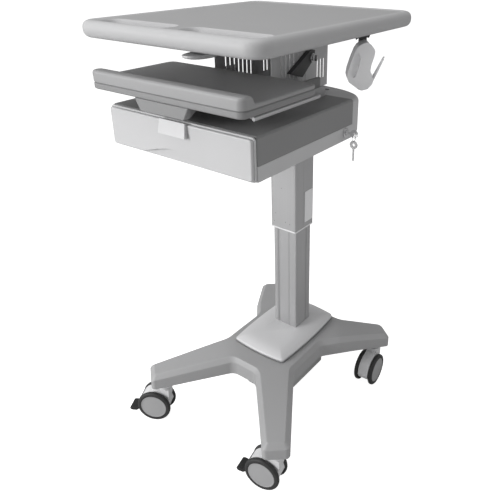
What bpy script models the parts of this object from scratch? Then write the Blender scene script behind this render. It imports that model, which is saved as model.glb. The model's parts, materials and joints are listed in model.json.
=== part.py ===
"""Height-adjustable medication cart: worktop, keyboard tray and drawer on a telescopic column.

Metres, +Z up. X is the width, the front faces -Y, and the origin is on the column axis at floor level.
"""

import bpy
import bmesh
import math
from mathutils import Matrix, Vector

# ---------------------------------------------------------------- driving dimensions
GAP = 0.0003                    # clearance that touching pieces keep

WHEEL_R = 0.050                 # caster wheel radius
WHEEL_HALF = 0.0065             # half width of one wheel of a twin caster
WHEEL_Y = 0.0240                # distance from the caster's middle plane to a wheel's middle
WEB_HALF = 0.0165               # half width of the hood between the wheels
TRAIL = 0.030                   # swivel axis to wheel axle
NECK_TOP = 0.1125               # top face of the caster hood's neck
STEM_R = 0.006

BASE_Y = -0.0959                # middle of the four-arm base
STEM_X = 0.2092                 # swivel axes of the casters
STEM_DY = 0.2618
BASE_TIP_BOTTOM, BASE_HUB_BOTTOM = 0.1310, 0.1570
FRAME_TIP_TOP, FRAME_HUB_TOP = 0.1560, 0.1820       # the column and its gas spring stand on the hub
ARM_TIP_TOP = 0.174
HUB_TOP = 0.212
BALLAST_BOTTOM = 0.050

PLATE_TOP = 0.2335              # centre cover plate
PLATE_X = 0.0888
PLATE_Y0, PLATE_Y1 = -0.171, 0.1023

COLUMN_X, COLUMN_Y = 0.040, 0.0365          # half sizes of the fixed inner column
COLUMN_TOP = 0.800
SLEEVE_X, SLEEVE_Y = 0.0435, 0.0440         # half sizes of the lifting sleeve
SLEEVE_BOTTOM = 0.568
SLEEVE_TOP = 1.1220
SLEEVE_WALL_X, SLEEVE_WALL_Y = 0.0030, 0.0070

HOUSE_X = 0.2151                # drawer housing
HOUSE_FRONT, HOUSE_BACK = -0.4081, -0.0470
HOUSE_BOTTOM, HOUSE_SPLIT, HOUSE_TOP = 0.8850, 0.9182, 0.9786
FRONT_FACE = -0.4200            # outer face of the drawer front
SHELL = 0.0030                  # wall of the housing
SLIDE_ROOM = 0.0130             # space beside the drawer box for its slides
LOCK_Y, LOCK_Z = -0.0813, 0.9050

TOP_X = 0.2603                  # worktop
TOP_FRONT, TOP_BACK = -0.4480, 0.1712
TOP_BOTTOM, TOP_TOP = 1.1280, 1.1646

TRAY_X = 0.2208                 # keyboard tray
TRAY_FRONT, TRAY_BACK = -0.4527, -0.2102
TRAY_BOTTOM, TRAY_PARTING, TRAY_DECK, TRAY_LIP = 1.0215, 1.0373, 1.0457, 1.0625
TRAY_SLIDE_X = 0.133
TRAY_RAIL_X = 0.2145

CAGE_X = 0.0865                 # vented compartment under the worktop
CAGE_FRONT, CAGE_BACK = -0.198, 0.034
CAGE_BOTTOM = HOUSE_TOP + 0.0035
CAM_Y, CAM_Z = -0.0546, 1.0645  # cam lock on the compartment's right wall

HOLDER = (0.2429, -0.0647, 1.1180)          # scanner holder's top middle
HOLDER_TURN = 36.0

LEVER = (0.071, -0.385, 1.1215)             # height lever's pivot

CASTERS = {                     # name: stem x sign, stem y sign, heading of the trail in degrees
    "front_left": (-1, -1, -152.0),
    "front_right": (1, -1, -169.0),
    "rear_right": (1, 1, -87.0),
    "rear_left": (-1, 1, 135.0),
}


# ---------------------------------------------------------------- scene and materials
def clear_scene():
    for item in list(bpy.data.objects):
        bpy.data.objects.remove(item, do_unlink=True)


def material(name, colour, roughness, metallic=0.0):
    found = bpy.data.materials.get(name)
    if found:
        return found
    made = bpy.data.materials.new(name)
    made.use_nodes = True
    shader = made.node_tree.nodes["Principled BSDF"]
    shader.inputs["Base Color"].default_value = (*colour, 1.0)
    shader.inputs["Roughness"].default_value = roughness
    shader.inputs["Metallic"].default_value = metallic
    return made


def pale_plastic():
    return material("pale_plastic", (0.62, 0.63, 0.64), 0.42)


def light_plastic():
    return material("light_plastic", (0.48, 0.49, 0.50), 0.45)


def mid_plastic():
    return material("mid_plastic", (0.27, 0.275, 0.28), 0.5)


def base_plastic():
    return material("base_plastic", (0.34, 0.345, 0.35), 0.5)


def dark_plastic():
    return material("dark_plastic", (0.07, 0.072, 0.075), 0.5)


def white_plastic():
    return material("white_plastic", (0.80, 0.80, 0.80), 0.35)


def black_plastic():
    return material("black_plastic", (0.015, 0.015, 0.015), 0.5)


def tyre_rubber():
    return material("tyre_rubber", (0.02, 0.02, 0.02), 0.65)


def anodised():
    return material("anodised_aluminium", (0.50, 0.51, 0.52), 0.38, 0.8)


def painted_steel():
    return material("painted_steel", (0.30, 0.305, 0.31), 0.45, 0.3)


def zinc_steel():
    return material("zinc_steel", (0.55, 0.55, 0.55), 0.35, 0.9)


def chrome():
    return material("chrome", (0.75, 0.75, 0.75), 0.12, 1.0)


# ---------------------------------------------------------------- mesh helpers
def place(name, bm, look, origin=(0.0, 0.0, 0.0)):
    """Turn a bmesh in world coordinates into a named object whose origin is at the given point."""
    bmesh.ops.recalc_face_normals(bm, faces=bm.faces)
    bmesh.ops.translate(bm, verts=bm.verts, vec=-Vector(origin))
    mesh = bpy.data.meshes.new(name)
    bm.to_mesh(mesh)
    bm.free()
    mesh.materials.append(look)
    obj = bpy.data.objects.new(name, mesh)
    obj.location = origin
    bpy.context.collection.objects.link(obj)
    return obj


def smooth(obj, degrees=35.0):
    obj.data.shade_smooth()
    obj.data.set_sharp_from_angle(angle=math.radians(degrees))


def boolean(obj, tool_bm, operation):
    """Cut or join obj with a hidden tool given as a bmesh in world coordinates."""
    tool = place(obj.name + ".tool", tool_bm, obj.data.materials[0], tuple(obj.location))
    tool.hide_render = True
    tool.display_type = "WIRE"
    modifier = obj.modifiers.new(operation.lower(), "BOOLEAN")
    modifier.operation = operation
    modifier.solver = "EXACT"
    modifier.object = tool


def cut(obj, *tools):
    """Cut each tool away in turn, so tools may overlap each other."""
    for tool in tools:
        boolean(obj, tool, "DIFFERENCE")


def join(obj, tool):
    boolean(obj, tool, "UNION")


def merged(parts):
    """One bmesh holding several that stay clear of each other; the given ones are freed."""
    whole = bmesh.new()
    for part in parts:
        mesh = bpy.data.meshes.new("scratch")
        part.to_mesh(mesh)
        part.free()
        whole.from_mesh(mesh)
        bpy.data.meshes.remove(mesh)
    return whole


def stack(rings):
    """A closed skin through rings of equal point counts, capped at both ends."""
    bm = bmesh.new()
    levels = [[bm.verts.new(point) for point in ring] for ring in rings]
    count = len(levels[0])
    for low, high in zip(levels, levels[1:]):
        for i in range(count):
            j = (i + 1) % count
            bm.faces.new((low[i], low[j], high[j], high[i]))
    bm.faces.new(levels[0][::-1])
    bm.faces.new(levels[-1])
    return bm


def outline(x0, x1, y0, y1, radius=0.0, steps=4):
    """A rectangle with round corners, counter-clockwise."""
    if radius <= 0.0:
        return [(x0, y0), (x1, y0), (x1, y1), (x0, y1)]
    corners = ((x1 - radius, y0 + radius, -90), (x1 - radius, y1 - radius, 0),
               (x0 + radius, y1 - radius, 90), (x0 + radius, y0 + radius, 180))
    points = []
    for cx, cy, start in corners:
        for k in range(steps + 1):
            angle = math.radians(start + 90.0 * k / steps)
            points.append((cx + radius * math.cos(angle), cy + radius * math.sin(angle)))
    return points


def level(points, z):
    return [(x, y, z) for x, y in points]


def slab(x0, x1, y0, y1, z0, z1, radius=0.0, steps=4):
    points = outline(x0, x1, y0, y1, radius, steps)
    return stack([level(points, z0), level(points, z1)])


def soft_slab(x0, x1, y0, y1, z0, z1, radius, bevel, steps=4):
    """A round-cornered slab whose top and bottom edges are chamfered."""
    inner = outline(x0 + bevel, x1 - bevel, y0 + bevel, y1 - bevel, max(radius - bevel, 0.0005), steps)
    outer = outline(x0, x1, y0, y1, radius, steps)
    return stack([level(inner, z0), level(outer, z0 + bevel), level(outer, z1 - bevel), level(inner, z1)])


def extrude_x(points_yz, x0, x1):
    return stack([[(x, y, z) for y, z in points_yz] for x in (x0, x1)])


def extrude_y(points_xz, y0, y1):
    return stack([[(x, y, z) for x, z in points_xz] for y in (y0, y1)])


def rod(start, end, radius, segments=16):
    """A straight round bar between two points."""
    a, b = Vector(start), Vector(end)
    turn = (b - a).to_track_quat("Z", "Y").to_matrix()
    rings = []
    for centre in (a, b):
        ring = []
        for k in range(segments):
            angle = 2.0 * math.pi * k / segments
            ring.append(centre + turn @ Vector((radius * math.cos(angle), radius * math.sin(angle), 0.0)))
        rings.append(ring)
    return stack(rings)


def turned_y(profile, segments, centre):
    """A ring about a Y axis through centre; profile is a closed list of (radius, y) with radius > 0."""
    bm = bmesh.new()
    cx, cy, cz = centre
    loops = []
    for k in range(segments):
        angle = 2.0 * math.pi * k / segments
        c, s = math.cos(angle), math.sin(angle)
        loops.append([bm.verts.new((cx + r * c, cy + y, cz + r * s)) for r, y in profile])
    count = len(profile)
    for k in range(segments):
        here, there = loops[k], loops[(k + 1) % segments]
        for i in range(count):
            j = (i + 1) % count
            bm.faces.new((here[i], here[j], there[j], there[i]))
    return bm


def tube_box(x, y, z0, z1, wall_x, wall_y, radius, inner_radius):
    """A rectangular tube open at both ends, as one closed skin."""
    outer = outline(-x, x, -y, y, radius)
    inner = outline(-x + wall_x, x - wall_x, -y + wall_y, y - wall_y, inner_radius)
    bm = bmesh.new()
    rings = [[bm.verts.new((px, py, z)) for px, py in points]
             for points, z in ((outer, z0), (outer, z1), (inner, z1), (inner, z0))]
    count = len(outer)
    for a in range(4):
        low, high = rings[a], rings[(a + 1) % 4]
        for i in range(count):
            j = (i + 1) % count
            bm.faces.new((low[i], low[j], high[j], high[i]))
    return bm


# ---------------------------------------------------------------- base
def arm_frame(sx, sy):
    """Unit vector along an arm and the one to its left, from the base's middle to a stem."""
    along = Vector((sx * STEM_X, sy * STEM_DY)).normalized()
    return along, Vector((-along.y, along.x))


FRONT_ROOT, BACK_ROOT = 0.133, 0.196        # where the hub ends, from the base's middle
REAR_ROOT = 0.226                           # the same on the sides that face the rear


def cross_ring(inset, root_half, tip_half, reach_past, z_hub, z_tip):
    """The four-arm outline with flats between the arms, as (point, on the flat hub) pairs.

    The hub reaches further back than forward, so that it carries the whole cover plate."""
    tip, corner = math.hypot(STEM_X, STEM_DY) + reach_past - inset, 0.007
    end = [(tip - corner, tip_half - inset), (tip, tip_half - inset - corner)]
    pairs = []
    for sx, sy in ((1, -1), (1, 1), (-1, 1), (-1, -1)):
        along, left = arm_frame(sx, sy)
        slope_start = FRONT_ROOT if sy < 0 else BACK_ROOT
        for side in (-1, 1):
            roots = [FRONT_ROOT]
            if sy > 0:
                roots = [REAR_ROOT] if side == sx else [FRONT_ROOT, BACK_ROOT]
            run = [(root, root_half - inset) for root in roots] + end
            for distance, half in (run if side < 0 else run[::-1]):
                spot = Vector((0.0, BASE_Y)) + along * distance + left * half * side
                on_hub = distance <= REAR_ROOT
                fall = 0.0 if on_hub else (distance - slope_start) / (tip - slope_start)
                pairs.append(((spot.x, spot.y, z_hub + (z_tip - z_hub) * fall), on_hub))
    return pairs


def cross_solid(rings):
    """A closed skin through cross_ring outlines; each cap is a flat hub and four flat arms."""
    bm = bmesh.new()
    levels = [[bm.verts.new(point) for point, _ in ring] for ring in rings]
    on_hub = [flag for _, flag in rings[0]]
    count = len(on_hub)
    for low, high in zip(levels, levels[1:]):
        for i in range(count):
            j = (i + 1) % count
            bm.faces.new((low[i], low[j], high[j], high[i]))
    starts = [i for i in range(count) if on_hub[i] and not on_hub[(i + 1) % count]]
    for cap, flip in ((levels[0], -1), (levels[-1], 1)):
        bm.faces.new([vert for vert, flag in zip(cap, on_hub) if flag][::flip])
        for start in starts:
            bm.faces.new([cap[(start + k) % count] for k in range(6)][::flip])
    return bm


def column_hole(margin, z0, z1):
    return slab(-COLUMN_X - margin, COLUMN_X + margin, -COLUMN_Y - margin, COLUMN_Y + margin, z0, z1)


def build_base():
    def ring(inset, z_hub, z_tip):
        return cross_ring(inset, 0.054, 0.035, 0.0365, z_hub, z_tip)

    cover = place("base_cover", cross_solid([
        ring(0.0, BASE_HUB_BOTTOM, BASE_TIP_BOTTOM),
        ring(0.0, HUB_TOP - 0.014, ARM_TIP_TOP - 0.010),
        ring(0.012, HUB_TOP, ARM_TIP_TOP),
    ]), base_plastic())
    hollow = cross_solid([
        ring(0.0035, BASE_HUB_BOTTOM - 0.01, BASE_TIP_BOTTOM - 0.01),
        ring(0.0035, HUB_TOP - 0.018, ARM_TIP_TOP - 0.014),
        ring(0.0140, HUB_TOP - 0.0035, ARM_TIP_TOP - 0.0035),
    ])
    cut(cover, hollow)
    cut(cover, column_hole(0.002, FRAME_HUB_TOP, HUB_TOP + 0.02))

    def frame_ring(z_hub, z_tip):
        return cross_ring(0.0, 0.031, 0.0275, 0.024, z_hub, z_tip)

    frame = place("base_frame", cross_solid([
        frame_ring(BASE_HUB_BOTTOM + 0.002, BASE_TIP_BOTTOM + 0.002),
        frame_ring(FRAME_HUB_TOP, FRAME_TIP_TOP),
    ]), painted_steel())
    holes = []
    for sx, sy, _ in CASTERS.values():
        x, y = sx * STEM_X, BASE_Y + sy * STEM_DY
        holes.append(rod((x, y, BASE_TIP_BOTTOM - 0.02), (x, y, HUB_TOP), STEM_R + GAP))
    cut(frame, merged(holes))

    place("ballast_box", soft_slab(-0.0692, 0.0692, -0.150, 0.075, BALLAST_BOTTOM,
                                   BASE_HUB_BOTTOM + 0.002 - GAP, 0.010, 0.003), base_plastic())

    def plate_ring(inset, z):
        """Rectangle with gently bowed sides."""
        x, y0, y1 = PLATE_X - inset, PLATE_Y0 + inset, PLATE_Y1 - inset
        corners = [(-x, y0), (x, y0), (x, y1), (-x, y1)]
        ring_points = []
        for i in range(4):
            ax, ay = corners[i]
            bx, by = corners[(i + 1) % 4]
            nx, ny = (by - ay), (ax - bx)
            size = math.hypot(nx, ny)
            for k in range(6):
                t = k / 6.0
                bow = 0.006 * 4.0 * t * (1.0 - t)
                ring_points.append((ax + (bx - ax) * t + nx / size * bow,
                                    ay + (by - ay) * t + ny / size * bow, z))
        return ring_points

    plate = place("column_cover_plate", stack([
        plate_ring(0.0, HUB_TOP + GAP),
        plate_ring(0.0, HUB_TOP + 0.0115),
        plate_ring(0.004, HUB_TOP + 0.0155),
        plate_ring(0.030, PLATE_TOP),
    ]), pale_plastic())
    cut(plate, column_hole(0.0012, FRAME_HUB_TOP, PLATE_TOP + 0.02))


# ---------------------------------------------------------------- casters
def caster_parent(name):
    """An empty on the swivel axis, turned to the caster's heading."""
    sx, sy, heading = CASTERS[name]
    empty = bpy.data.objects.new("caster_" + name, None)
    empty.location = (sx * STEM_X, BASE_Y + sy * STEM_DY, 0.0)
    empty.rotation_euler = (0.0, 0.0, math.radians(heading))
    bpy.context.collection.objects.link(empty)
    return empty


def hood_shape():
    """Wide web between the wheels, with its neck, axle and stem, in the caster's own axes."""
    reach = WHEEL_R - 0.0025
    web = [(-0.0165, NECK_TOP - 0.0060), (-0.0165, 0.084), (-0.0120, 0.066)]
    for k in range(6):
        angle = math.radians(200.0 + 70.0 * k / 5)
        web.append((TRAIL + 0.034 * math.cos(angle), WHEEL_R + 0.034 * math.sin(angle)))
    web += [(TRAIL + 0.026, 0.030), (TRAIL + 0.040, 0.034)]
    for k in range(9):
        angle = math.radians(6.0 + 76.0 * k / 8)
        web.append((TRAIL + reach * math.cos(angle), WHEEL_R + reach * math.sin(angle)))
    web += [(0.0165, NECK_TOP - 0.0100), (0.0150, NECK_TOP - 0.0060)]
    body = place("hood", extrude_y(web, -WEB_HALF, WEB_HALF), pale_plastic())
    join(body, rod((0, 0, 0.100), (0, 0, NECK_TOP), 0.0160, 20))
    join(body, rod((0, 0, NECK_TOP - 0.01), (0, 0, FRAME_TIP_TOP - 0.0020), STEM_R))
    join(body, rod((TRAIL, -WHEEL_Y - 0.004, WHEEL_R), (TRAIL, WHEEL_Y + 0.004, WHEEL_R), 0.0050))
    return body


def build_casters():
    hood = hood_shape()
    half = WHEEL_HALF
    tyre_profile = [(0.0392, -half), (0.0465, -half), (0.0490, -half + 0.0015), (WHEEL_R, -half + 0.0040),
                    (WHEEL_R, half - 0.0040), (0.0490, half - 0.0015), (0.0465, half), (0.0392, half)]
    hub_profile = [(0.0053, -half + 0.0005), (0.0389, -half + 0.0005), (0.0389, half - 0.0005),
                   (0.0360, half - 0.0005), (0.0345, half - 0.0015), (0.0053, half - 0.0015)]
    for name in CASTERS:
        parent = caster_parent(name)
        part = hood if name == "front_left" else bpy.data.objects.new("hood", hood.data)
        if part is not hood:
            bpy.context.collection.objects.link(part)
            for source in hood.modifiers:
                modifier = part.modifiers.new(source.name, "BOOLEAN")
                modifier.operation = source.operation
                modifier.solver = "EXACT"
                tool = bpy.data.objects.new("hood.tool", source.object.data)
                tool.hide_render = True
                tool.display_type = "WIRE"
                bpy.context.collection.objects.link(tool)
                tool.parent = parent
                modifier.object = tool
        else:
            for source in hood.modifiers:
                source.object.parent = parent
        part.name = "caster_" + name + "_hood"
        part.parent = parent
        for side, sign in (("inner", -1), ("outer", 1)):
            centre = (TRAIL, sign * WHEEL_Y, WHEEL_R)
            for kind, profile, look in (("tyre", tyre_profile, tyre_rubber()),
                                        ("hub", hub_profile, mid_plastic())):
                shaped = [(r, sign * y) for r, y in profile]
                wheel = place("caster_%s_%s_%s" % (name, side, kind),
                              turned_y(shaped, 28, centre), look, centre)
                smooth(wheel)
                wheel.parent = parent
        if name.startswith("front"):
            pivot = (TRAIL + 0.0480, 0.0, 0.0290)
            neck = extrude_y([(pivot[0] - 0.0040, 0.0250), (pivot[0] + 0.012, 0.0215),
                              (pivot[0] + 0.012, 0.0295), (pivot[0] - 0.0040, 0.0325)], -0.0130, 0.0130)
            pedal = place("caster_%s_brake_pedal" % name, neck, black_plastic(), pivot)
            join(pedal, soft_slab(pivot[0] + 0.0060, pivot[0] + 0.0350, -0.0190, 0.0190,
                                  0.0180, 0.0290, 0.006, 0.0015, 3))
            for modifier in pedal.modifiers:
                modifier.object.parent = parent
            pedal.parent = parent


# ---------------------------------------------------------------- column and lift
def build_column():
    column = place("lower_column", tube_box(COLUMN_X, COLUMN_Y, FRAME_HUB_TOP + GAP, COLUMN_TOP,
                                            0.0045, 0.0045, 0.004, 0.002), anodised())
    grooves = []
    for side in (-1, 1):
        face = side * COLUMN_Y
        for x in (-0.0215, 0.0215):
            y0, y1 = sorted((face - side * 0.0022, face + side * 0.004))
            grooves.append(slab(x - 0.0042, x + 0.0042, y0, y1, 0.14, COLUMN_TOP + 0.01))
        face = side * COLUMN_X
        x0, x1 = sorted((face - side * 0.0020, face + side * 0.004))
        grooves.append(slab(x0, x1, -0.0045, 0.0045, 0.14, COLUMN_TOP + 0.01))
    cut(column, merged(grooves))

    sleeve = place("lift_sleeve", tube_box(SLEEVE_X, SLEEVE_Y, SLEEVE_BOTTOM, SLEEVE_TOP,
                                           SLEEVE_WALL_X, SLEEVE_WALL_Y, 0.004, 0.002), anodised())
    smooth(sleeve)
    trim = tube_box(SLEEVE_X + 0.0004, SLEEVE_Y + 0.0004, SLEEVE_BOTTOM - 0.0110, SLEEVE_BOTTOM - GAP,
                    SLEEVE_X - COLUMN_X - 0.0002, SLEEVE_Y - COLUMN_Y - 0.0002, 0.004, 0.0042)
    place("sleeve_trim_ring", trim, white_plastic())
    sign = outline(-0.0010, 0.0370, SLEEVE_BOTTOM + 0.0145, SLEEVE_BOTTOM + 0.1100, 0.003, 3)
    place("sleeve_plate", extrude_x(sign, SLEEVE_X + GAP, SLEEVE_X + 0.0013), pale_plastic())

    build_gas_spring()


def build_gas_spring():
    """Pressure tube standing on the base frame, and its rod hanging from the worktop's bracket."""
    bm = bmesh.new()
    segments = 20
    bottom, top = FRAME_HUB_TOP + GAP, 0.700
    outer_r, bore_r, floor = 0.0140, 0.0058, FRAME_HUB_TOP + 0.008
    rings = []
    for radius, z in ((outer_r, bottom), (outer_r, top), (bore_r, top), (bore_r, floor)):
        angles = [2.0 * math.pi * k / segments for k in range(segments)]
        rings.append([bm.verts.new((radius * math.cos(a), radius * math.sin(a), z)) for a in angles])
    for low, high in zip(rings, rings[1:]):
        for i in range(segments):
            j = (i + 1) % segments
            bm.faces.new((low[i], low[j], high[j], high[i]))
    bm.faces.new(rings[0][::-1])
    bm.faces.new(rings[-1])
    smooth(place("gas_spring_cylinder", bm, black_plastic()))
    smooth(place("gas_spring_rod", rod((0, 0, 0.440), (0, 0, SLEEVE_TOP), 0.0050, 16), chrome()))


# ---------------------------------------------------------------- drawer unit
def build_housing():
    wall = SHELL
    base = place("housing_base", slab(-HOUSE_X, HOUSE_X, HOUSE_FRONT, HOUSE_BACK, HOUSE_BOTTOM,
                                      HOUSE_SPLIT - GAP, 0.004, 2), light_plastic())
    cut(base, slab(-HOUSE_X + wall, HOUSE_X - wall, HOUSE_FRONT - 0.01, HOUSE_BACK - wall,
                   HOUSE_BOTTOM + wall, HOUSE_SPLIT + 0.01),
        rod((HOUSE_X - 0.02, LOCK_Y, LOCK_Z), (HOUSE_X + 0.02, LOCK_Y, LOCK_Z), 0.0098))
    cover = place("housing_cover", soft_slab(-HOUSE_X, HOUSE_X, HOUSE_FRONT, HOUSE_BACK, HOUSE_SPLIT - 0.004,
                                             HOUSE_TOP, 0.004, 0.004, 2), mid_plastic())
    cut(cover, slab(-HOUSE_X - 0.01, HOUSE_X + 0.01, HOUSE_FRONT - 0.01, HOUSE_BACK + 0.01,
                    HOUSE_SPLIT - 0.02, HOUSE_SPLIT))
    cut(cover, slab(-HOUSE_X + wall, HOUSE_X - wall, HOUSE_FRONT - 0.01, HOUSE_BACK - wall,
                    HOUSE_SPLIT - 0.02, HOUSE_TOP - wall))

    y0, z0, z1 = HOUSE_BACK + GAP, HOUSE_BOTTOM - 0.006, HOUSE_TOP - 0.004
    half_width, depth = 0.2107, 0.1042

    def bulge(inset, z, front=y0):
        """Half of a superellipse behind the housing, wider than deep."""
        ring = []
        for k in range(25):
            angle = math.pi * k / 24
            c, s = math.cos(angle), math.sin(angle)
            power = 2.0 / 2.7
            ring.append((math.copysign(abs(c) ** power, c) * (half_width - inset),
                         front + s ** power * (depth - inset + y0 - front), z))
        return ring

    rear = place("rear_cover", stack([bulge(0.010, z0), bulge(0.0, z0 + 0.010), bulge(0.0, z1 - 0.012),
                                      bulge(0.012, z1)]), light_plastic())
    cut(rear, stack([bulge(0.013, z0 + 0.003, y0 - 0.01), bulge(0.003, z0 + 0.013, y0 - 0.01),
                     bulge(0.003, z1 - 0.015, y0 - 0.01), bulge(0.015, z1 - 0.003, y0 - 0.01)]))
    cut(rear, slab(-SLEEVE_X - 0.001, SLEEVE_X + 0.001, y0 - 0.02, SLEEVE_Y + 0.001, z0 - 0.01, z1 + 0.01))
    cut(rear, slab(0.058, 0.107, 0.0035, 0.0170, z1 - 0.02, z1 + 0.01, 0.004, 3))

    bracket = place("mast_bracket", slab(-0.150, 0.150, HOUSE_BACK + 0.0006, HOUSE_BACK + 0.0026,
                                         HOUSE_BOTTOM + 0.010, HOUSE_TOP - 0.025), zinc_steel())
    for side in (-1, 1):
        x0, x1 = sorted((side * (SLEEVE_X + GAP), side * (SLEEVE_X + 0.0033)))
        join(bracket, slab(x0, x1, HOUSE_BACK + 0.0016, 0.040, HOUSE_BOTTOM + 0.012, HOUSE_TOP - 0.027))


def wave_height(x):
    """The finger pull's arch above the drawer front's lower edge."""
    half = 0.150
    if abs(x) >= half:
        return 0.0
    return 0.0265 * math.cos(0.5 * math.pi * x / half) ** 2


def build_drawer():
    x, z0, z1 = HOUSE_X - 0.0015, HOUSE_BOTTOM - 0.001, HOUSE_TOP - 0.0005
    edge, round_corner, plate = 0.0030, 0.0080, 0.0040
    full = outline(-x, x, z0, z1, round_corner, 4)
    small = outline(-x + edge, x - edge, z0 + edge, z1 - edge, round_corner - edge, 4)
    panel = place("drawer_front", stack([[(px, HOUSE_FRONT - GAP, pz) for px, pz in full],
                                         [(px, FRONT_FACE + edge, pz) for px, pz in full],
                                         [(px, FRONT_FACE, pz) for px, pz in small]]), light_plastic())
    steps, reach = 24, 0.143
    arch = [(-reach + 2 * reach * k / steps, z0 + wave_height(-reach + 2 * reach * k / steps))
            for k in range(steps + 1)]
    arch += [(reach, z0 - 0.010), (-reach, z0 - 0.010)]
    cut(panel, extrude_y(arch, FRONT_FACE - 0.010, HOUSE_FRONT - GAP - plate))

    side, wall = HOUSE_X - SHELL - SLIDE_ROOM, 0.0025
    box = place("drawer_box", slab(-side, side, HOUSE_FRONT + GAP, HOUSE_BACK - 0.012, HOUSE_BOTTOM + 0.0048,
                                   HOUSE_TOP - 0.0140, 0.004, 2), dark_plastic())
    cut(box, slab(-side + wall, side - wall, HOUSE_FRONT + GAP + wall, HOUSE_BACK - 0.012 - wall,
                  HOUSE_BOTTOM + 0.0075, HOUSE_TOP, 0.003, 2))
    low, high, face = HOUSE_TOP - 0.0330, HOUSE_TOP - 0.0010, FRONT_FACE - GAP
    place("label_holder", stack([
        [(-0.0395, face, low), (0.0395, face, low), (0.0395, face, high), (-0.0395, face, high)],
        [(-0.0405, face - 0.0100, low), (0.0405, face - 0.0100, low),
         (0.0380, face - 0.0020, high), (-0.0380, face - 0.0020, high)],
    ]), pale_plastic())
    for name, sign in (("left", -1), ("right", 1)):
        x0, x1 = sorted((sign * (side + GAP), sign * (HOUSE_X - SHELL - GAP)))
        z0 = HOUSE_BOTTOM + 0.0140
        rail = place("drawer_slide_" + name, slab(x0, x1, HOUSE_FRONT + 0.004, LOCK_Y - 0.0160,
                                                  z0, z0 + 0.018), zinc_steel())
        c0, c1 = sorted(((x0 + x1) / 2, sign * (side - 0.002)))
        cut(rail, slab(c0, c1, HOUSE_FRONT, HOUSE_BACK, z0 + 0.003, z0 + 0.015))


def key_bow(x, y, z):
    """A key's round head with its hole, in the XZ plane."""
    return turned_y([(0.0035, -0.001), (0.0105, -0.001), (0.0105, 0.001), (0.0035, 0.001)], 16, (x, y, z))


def build_locks():
    lock_y, lock_z = LOCK_Y, LOCK_Z
    barrel = [(0.0050, -0.010), (0.0095, -0.010), (0.0095, 0.0), (0.0115, 0.0003),
              (0.0115, 0.0023), (0.0090, 0.0030), (0.0050, 0.0030)]
    smooth(place("drawer_lock_barrel", turned_x(barrel, (HOUSE_X, lock_y, lock_z)), chrome()))
    core = place("drawer_lock_key", rod((HOUSE_X - 0.009, lock_y, lock_z), (HOUSE_X + 0.0040, lock_y, lock_z),
                                        0.0047, 16), chrome(), (HOUSE_X, lock_y, lock_z))
    join(core, slab(HOUSE_X + 0.0030, HOUSE_X + 0.0150, lock_y - 0.0009, lock_y + 0.0009,
                    lock_z - 0.0024, lock_z + 0.0024))
    join(core, key_bow(HOUSE_X + 0.0240, lock_y, lock_z))

    ring_x = HOUSE_X + 0.0240
    ring = ring_torus((ring_x, lock_y, lock_z - 0.0095), 0.0085, 0.0007)
    spare = place("spare_key", ring, zinc_steel(), (ring_x, lock_y, lock_z - 0.0010))
    low = lock_z - 0.0265
    join(spare, key_bow(ring_x, lock_y - 0.0003, low))
    join(spare, slab(ring_x - 0.0024, ring_x + 0.0024, lock_y - 0.0012, lock_y + 0.0006,
                     low - 0.0400, low - 0.0095))

    axis = (CAGE_X + 0.0125, CAM_Y, CAM_Z)
    flap = [(-0.141, 1.039), (-0.093, 1.0236), (-0.0450, 1.0610), (-0.0410, 1.0805), (-0.064, 1.0805)]
    gusset = place("cage_lock_bracket", extrude_x(flap, CAGE_X + 0.0003, CAGE_X + 0.0120), dark_plastic())
    cut(gusset, rod((CAGE_X - 0.01, CAM_Y, CAM_Z), (CAGE_X + 0.02, CAM_Y, CAM_Z), 0.0083))
    cam = place("cage_cam_lock", rod((CAGE_X + 0.0010, CAM_Y, CAM_Z), (CAGE_X + 0.0200, CAM_Y, CAM_Z),
                                     0.0080, 20), chrome(), axis)
    join(cam, rod((CAGE_X + 0.0125, CAM_Y, CAM_Z), (CAGE_X + 0.0160, CAM_Y, CAM_Z), 0.0105, 20))
    join(cam, slab(CAGE_X + 0.0190, CAGE_X + 0.0270, CAM_Y - 0.0015, CAM_Y + 0.0015,
                   CAM_Z - 0.0070, CAM_Z + 0.0070))


def turned_x(profile, centre, segments=20):
    """A ring about an X axis through centre; profile is a closed list of (radius, x)."""
    bm = turned_y([(r, -h) for r, h in profile], segments, (0, 0, 0))
    bmesh.ops.rotate(bm, cent=(0, 0, 0), matrix=Matrix.Rotation(math.radians(90.0), 3, "Z"), verts=bm.verts)
    bmesh.ops.translate(bm, vec=centre, verts=bm.verts)
    return bm


def ring_torus(centre, radius, wire):
    """A wire ring standing in the YZ plane."""
    angles = [math.radians(45 + 60 * k) for k in range(6)]
    profile = [(radius + wire * math.cos(a), wire * math.sin(a)) for a in angles]
    return turned_x(profile, centre, 20)


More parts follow.
